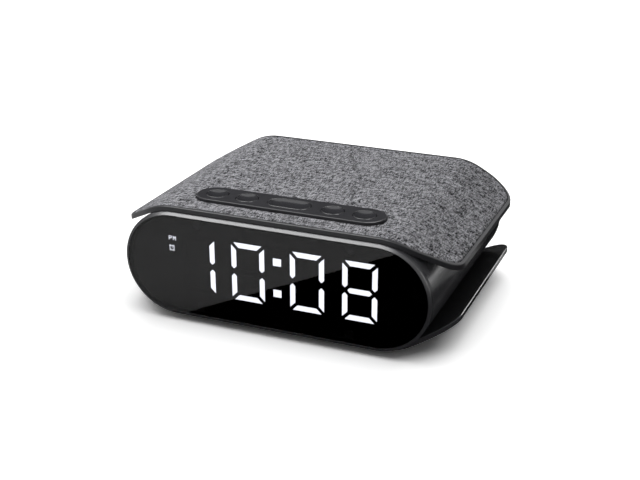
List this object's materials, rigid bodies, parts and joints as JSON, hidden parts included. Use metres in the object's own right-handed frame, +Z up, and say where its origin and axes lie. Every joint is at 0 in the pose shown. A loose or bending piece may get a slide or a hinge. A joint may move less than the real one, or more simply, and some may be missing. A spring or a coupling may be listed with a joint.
{
  "type": "talking clock",
  "caption": "Bedside talking clock: stadium-section gloss body, lit digital display, woven-fabric top plate with wings, and a bar of dished push buttons.",
  "frame": {"origin": "on the table, under the middle of the clock", "axes": "+X to the right as the display is read, +Y to the rear, +Z up"},
  "size_m": [0.1952, 0.141, 0.0688],
  "materials": {
    "gloss_black_abs": "moulded and polished black ABS",
    "satin_black_abs": "fine spark-textured black ABS",
    "dark_grey_abs": "satin moulded dark grey ABS",
    "button_abs": "satin moulded dark grey ABS",
    "smoked_acrylic": "polished smoked acrylic",
    "mask_abs": "moulded black light box",
    "lit_diffuser": "translucent white light guide, lit white",
    "unlit_diffuser": "smoked light guide, not lit",
    "woven_fabric": "plain-woven mixed grey upholstery cloth",
    "circuit_board": "green solder resist on glass epoxy",
    "lamp_chip": "white lamp chip",
    "zinc_screw": "zinc plated steel",
    "black_screw": "blackened steel",
    "switch_nylon": "moulded nylon",
    "plunger_nylon": "moulded nylon",
    "holder_abs": "moulded ABS",
    "nickel_cell": "nickel plated steel",
    "pressed_steel": "pressed zinc plated steel",
    "paper_cone": "black pulp",
    "ferrite": "sintered ferrite",
    "foam_gasket": "closed-cell foam",
    "chip_epoxy": "moulded epoxy",
    "crystal_can": "drawn nickel silver can",
    "capacitor_can": "sleeved aluminium can",
    "socket_nylon": "moulded nylon",
    "ribbon_film": "flat flexible film lead",
    "rubber": "moulded rubber"
  },
  "bodies": {
    "clock": {"body_sleeve": "gloss_black_abs", "front_bezel": "gloss_black_abs", "display_window": "smoked_acrylic", "display_mask": "mask_abs", "unlit_bars": "unlit_diffuser", "colon_dots": "lit_diffuser", "indicator_icons": "lit_diffuser", "display_board": "circuit_board", "segment_leds": "lamp_chip", "display_screws": "zinc_screw", "digit_1": "lit_diffuser", "digit_2": "lit_diffuser", "digit_3": "lit_diffuser", "digit_4": "lit_diffuser", "top_cover": "dark_grey_abs", "fabric_panel": "woven_fabric", "bottom_cover": "gloss_black_abs", "button_bar": "dark_grey_abs", "switch_housings": "switch_nylon", "switch_board": "circuit_board", "switch_board_screws": "zinc_screw", "cover_screws": "zinc_screw", "rear_cover": "satin_black_abs", "rear_screws": "black_screw", "cell_holder": "holder_abs", "coin_cell": "nickel_cell", "speaker_frame": "pressed_steel", "speaker_cone": "paper_cone", "speaker_dust_cap": "paper_cone", "speaker_magnet": "ferrite", "speaker_gasket": "foam_gasket", "speaker_screws": "zinc_screw", "main_board": "circuit_board", "main_board_screws": "zinc_screw", "voice_chip": "chip_epoxy", "clock_chip": "chip_epoxy", "clock_crystal": "crystal_can", "capacitors": "capacitor_can", "connectors": "switch_nylon", "power_socket": "socket_nylon", "display_ribbon": "ribbon_film", "switch_ribbon": "ribbon_film", "rubber_foot_left_front": "rubber", "rubber_foot_left_rear": "rubber", "rubber_foot_right_front": "rubber", "rubber_foot_right_rear": "rubber"},
    "key_time": {"button_time": "button_abs", "plunger_time": "plunger_nylon"},
    "key_alarm": {"button_alarm": "button_abs", "plunger_alarm": "plunger_nylon"},
    "key_talk": {"button_talk": "button_abs", "plunger_talk": "plunger_nylon"},
    "key_down": {"button_down": "button_abs", "plunger_down": "plunger_nylon"},
    "key_up": {"button_up": "button_abs", "plunger_up": "plunger_nylon"},
    "cell_door": {"battery_door": "satin_black_abs", "door_screw": "black_screw"}
  },
  "joints": [
    {"name": "time_press", "type": "slide", "parent": "clock", "child": "key_time", "axis": [0, 0, -1], "range_m": [0, 0.0008], "stiffness_N_per_m": 1200, "springref_m": -0.0004},
    {"name": "alarm_press", "type": "slide", "parent": "clock", "child": "key_alarm", "axis": [0, 0, -1], "range_m": [0, 0.0008], "stiffness_N_per_m": 1200, "springref_m": -0.0004},
    {"name": "talk_press", "type": "slide", "parent": "clock", "child": "key_talk", "axis": [0, 0, -1], "range_m": [0, 0.0008], "stiffness_N_per_m": 1200, "springref_m": -0.0004},
    {"name": "down_press", "type": "slide", "parent": "clock", "child": "key_down", "axis": [0, 0, -1], "range_m": [0, 0.0008], "stiffness_N_per_m": 1200, "springref_m": -0.0004},
    {"name": "up_press", "type": "slide", "parent": "clock", "child": "key_up", "axis": [0, 0, -1], "range_m": [0, 0.0008], "stiffness_N_per_m": 1200, "springref_m": -0.0004},
    {"name": "door_pull", "type": "slide", "parent": "clock", "child": "cell_door", "axis": [0, 1, 0], "range_m": [0, 0.03]}
  ]
}
